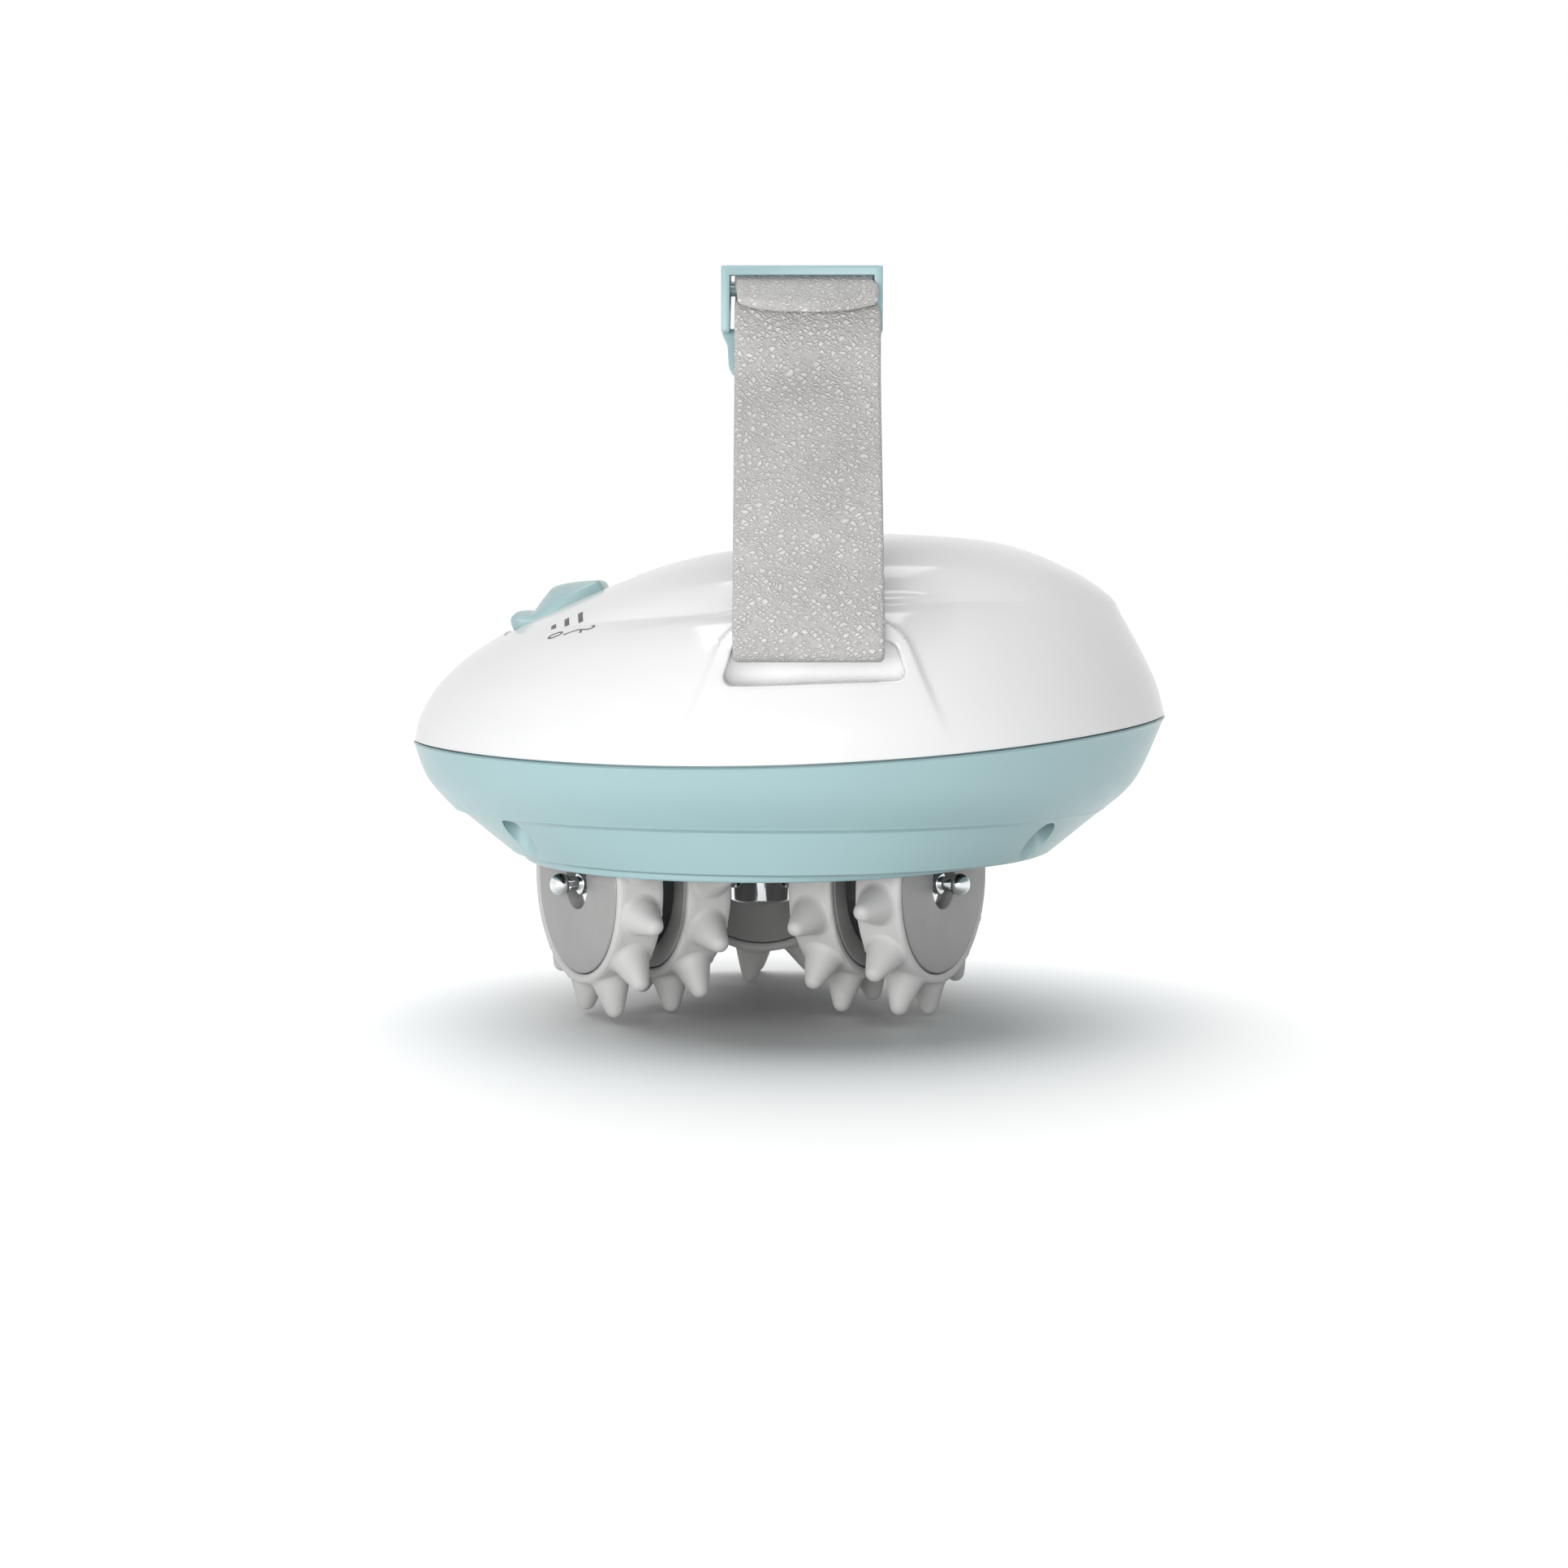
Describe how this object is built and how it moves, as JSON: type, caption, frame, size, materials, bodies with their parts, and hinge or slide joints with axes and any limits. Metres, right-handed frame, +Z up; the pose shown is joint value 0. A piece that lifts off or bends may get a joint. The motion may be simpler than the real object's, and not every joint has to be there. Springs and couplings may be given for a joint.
{
  "type": "electric massager",
  "caption": "Oval handheld massager with a hand strap, a sliding thumb switch and a turning head of nubbed rollers under a round skirt.",
  "frame": {"origin": "centre of the whole part's box in X and Y, at the tips of the lowest nubs", "axes": "+Z up, +X towards the rear end with the power inlet, -X towards the thumb switch, +Y towards the side where the strap is fixed"},
  "size_m": [0.1494, 0.12, 0.1459],
  "materials": {
    "white_shell": "gloss white moulded plastic",
    "aqua_plastic": "satin pale aqua moulded plastic",
    "grey_rubber": "soft light grey rubber",
    "grey_plastic": "satin mid grey moulded plastic",
    "black_plastic": "matt black moulded plastic",
    "chrome": "bright polished",
    "steel": "zinc-plated steel",
    "leather": "soft light grey leather with fine creases",
    "acetal": "natural white acetal",
    "brass": "sintered bronze-coloured metal",
    "board": "green solder mask"
  },
  "bodies": {
    "body": {"upper_housing": "white_shell", "lower_housing": "aqua_plastic", "base_collar": "aqua_plastic", "gear_chassis": "acetal", "gear_cover": "acetal", "spindle_bush": "brass", "motor_can": "steel", "idler_pin": "steel", "power_inlet": "black_plastic", "slide_switch": "black_plastic", "circuit_board": "board", "strap_adjusting_run": "leather", "strap_fixed_run": "leather", "buckle": "aqua_plastic", "housing_screw_1": "steel", "gear_cover_screw_1": "steel", "housing_screw_2": "steel", "gear_cover_screw_2": "steel", "housing_screw_3": "steel", "gear_cover_screw_3": "steel", "housing_screw_4": "steel", "gear_cover_screw_4": "steel"},
    "switch": {"switch_slider": "aqua_plastic"},
    "head": {"drive_spindle": "chrome", "roller_carrier": "black_plastic", "output_gear": "acetal", "spindle_retaining_ring": "steel", "far_axle": "chrome", "far_axle_clip": "chrome", "left_axle": "chrome", "left_axle_clip": "chrome", "right_axle": "chrome", "right_axle_clip": "chrome"},
    "idler": {"idler_gear": "acetal"},
    "pinion": {"motor_pinion": "brass"},
    "far_inner_roller": {"far_inner_hub": "grey_plastic", "far_inner_tyre": "grey_rubber"},
    "far_outer_roller": {"far_outer_hub": "grey_plastic", "far_outer_tyre": "grey_rubber"},
    "left_inner_roller": {"left_inner_hub": "grey_plastic", "left_inner_tyre": "grey_rubber"},
    "left_outer_roller": {"left_outer_hub": "grey_plastic", "left_outer_tyre": "grey_rubber"},
    "right_inner_roller": {"right_inner_hub": "grey_plastic", "right_inner_tyre": "grey_rubber"},
    "right_outer_roller": {"right_outer_hub": "grey_plastic", "right_outer_tyre": "grey_rubber"}
  },
  "joints": [
    {"name": "switch_slide", "type": "slide", "parent": "body", "child": "switch", "axis": [0.9063, 0, 0.4226], "range_m": [0, 0.0058]},
    {"name": "head_spin", "type": "hinge", "parent": "body", "child": "head", "pos_m": [-0.0056, 0, 0], "axis": [0, 0, 1], "continuous": true},
    {"name": "idler_spin", "type": "hinge", "parent": "body", "child": "idler", "pos_m": [0.01237, 0.01879, 0], "axis": [0, 0, 1], "continuous": true},
    {"name": "motor_spin", "type": "hinge", "parent": "body", "child": "pinion", "pos_m": [0.024, 0, 0], "axis": [0, 0, 1], "continuous": true},
    {"name": "far_inner_roller_spin", "type": "hinge", "parent": "head", "child": "far_inner_roller", "pos_m": [-0.0056, 0, 0.02646], "axis": [0, 1, 0], "continuous": true},
    {"name": "far_outer_roller_spin", "type": "hinge", "parent": "head", "child": "far_outer_roller", "pos_m": [-0.0056, 0, 0.02646], "axis": [0, 1, 0], "continuous": true},
    {"name": "left_inner_roller_spin", "type": "hinge", "parent": "head", "child": "left_inner_roller", "pos_m": [-0.0056, 0, 0.02646], "axis": [-0.866, -0.5, 0], "continuous": true},
    {"name": "left_outer_roller_spin", "type": "hinge", "parent": "head", "child": "left_outer_roller", "pos_m": [-0.0056, 0, 0.02646], "axis": [-0.866, -0.5, 0], "continuous": true},
    {"name": "right_inner_roller_spin", "type": "hinge", "parent": "head", "child": "right_inner_roller", "pos_m": [-0.0056, 0, 0.02646], "axis": [0.866, -0.5, 0], "continuous": true},
    {"name": "right_outer_roller_spin", "type": "hinge", "parent": "head", "child": "right_outer_roller", "pos_m": [-0.0056, 0, 0.02646], "axis": [0.866, -0.5, 0], "continuous": true}
  ],
  "couplings": [
    {"joint": "idler_spin", "follows": "head_spin", "ratio": -3},
    {"joint": "motor_spin", "follows": "head_spin", "ratio": 9.75}
  ]
}
